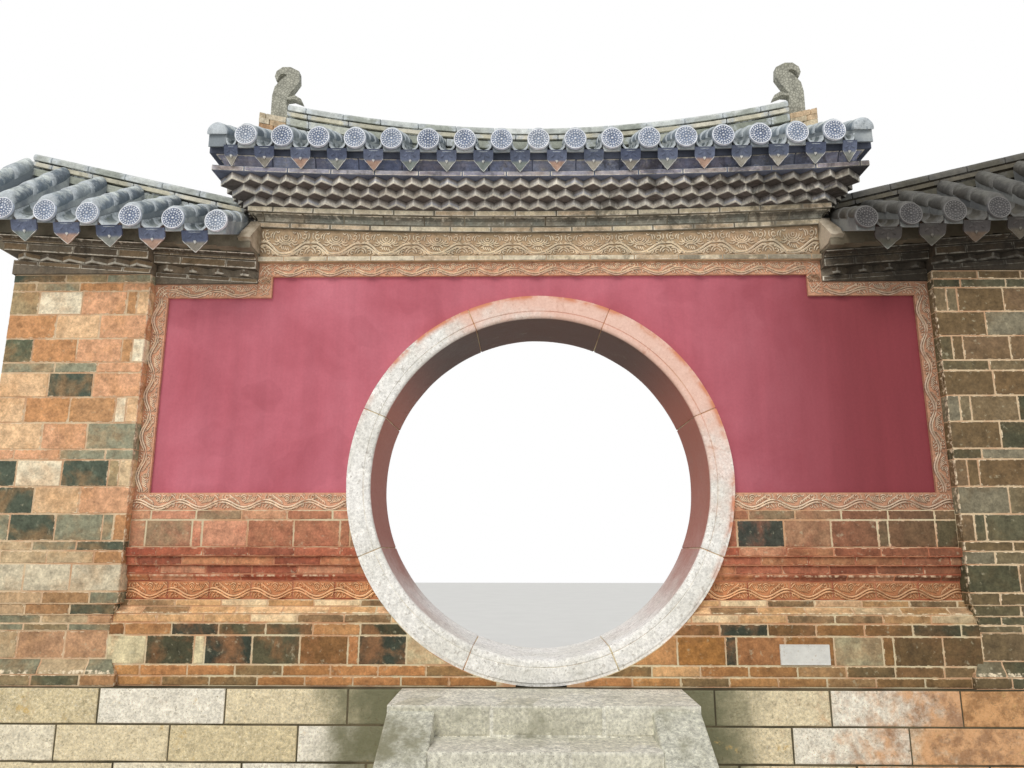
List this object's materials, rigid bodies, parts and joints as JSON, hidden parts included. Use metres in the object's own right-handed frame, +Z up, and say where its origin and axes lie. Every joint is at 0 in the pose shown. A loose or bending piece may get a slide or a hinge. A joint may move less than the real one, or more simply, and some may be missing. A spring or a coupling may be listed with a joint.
{
  "type": "moon gate",
  "caption": "Moon gate: round stone-ringed opening in a red plastered brick wall with piers, carved border, corbelled cornice, upturned tiled roof and stone steps.",
  "frame": {"origin": "on the ground under the centre of the round opening, at the middle of the wall's thickness and length", "axes": "+X along the wall to the right seen from the front, +Y through the opening towards the back, +Z up"},
  "size_m": [7.4086, 3.7406, 4.8693],
  "materials": {
    "granite": "rough, weathered",
    "ring_stone": "dressed, pink stained",
    "brick": "matte, mixed colours",
    "plaster": "matte red",
    "carving": "matte carved clay",
    "cornice": "matte, lichened",
    "roof_tile": "matte, lichened",
    "mortar": "rough lime mortar"
  },
  "bodies": {
    "root": {"foundation": "granite", "steps_front": "granite", "steps_back": "granite", "cheeks_front": "granite", "cheeks_back": "granite", "plinth_left": "brick", "plinth_right": "brick", "waist_left": "brick", "waist_right": "brick", "dado_left": "brick", "dado_right": "brick", "wall_left": "brick", "wall_right": "brick", "wall_head": "brick", "plaster_front": "plaster", "plaster_back": "plaster", "border_front": "carving", "border_back": "carving", "ring_stone_1": "ring_stone", "ring_stone_2": "ring_stone", "ring_stone_3": "ring_stone", "ring_stone_4": "ring_stone", "ring_stone_5": "ring_stone", "ring_stone_6": "ring_stone", "ring_stone_7": "ring_stone", "ring_stone_8": "ring_stone", "pier_left": "brick", "pier_right": "brick", "frieze": "carving", "cornice_cap": "cornice", "dogtooth_1": "cornice", "dogtooth_2": "cornice", "dogtooth_3": "cornice", "eave_moulding": "cornice", "roof_bed": "mortar", "cover_tiles": "roof_tile", "pan_tiles": "roof_tile", "ridge": "roof_tile", "finial_left": "roof_tile", "finial_right": "roof_tile", "side_cornice_left": "cornice", "side_cornice_right": "cornice", "side_bed_left": "mortar", "side_bed_right": "mortar", "side_covers_left": "roof_tile", "side_covers_right": "roof_tile", "side_pans_left": "roof_tile", "side_pans_right": "roof_tile", "side_ridge_left": "roof_tile", "side_ridge_right": "roof_tile"}
  },
  "joints": []
}
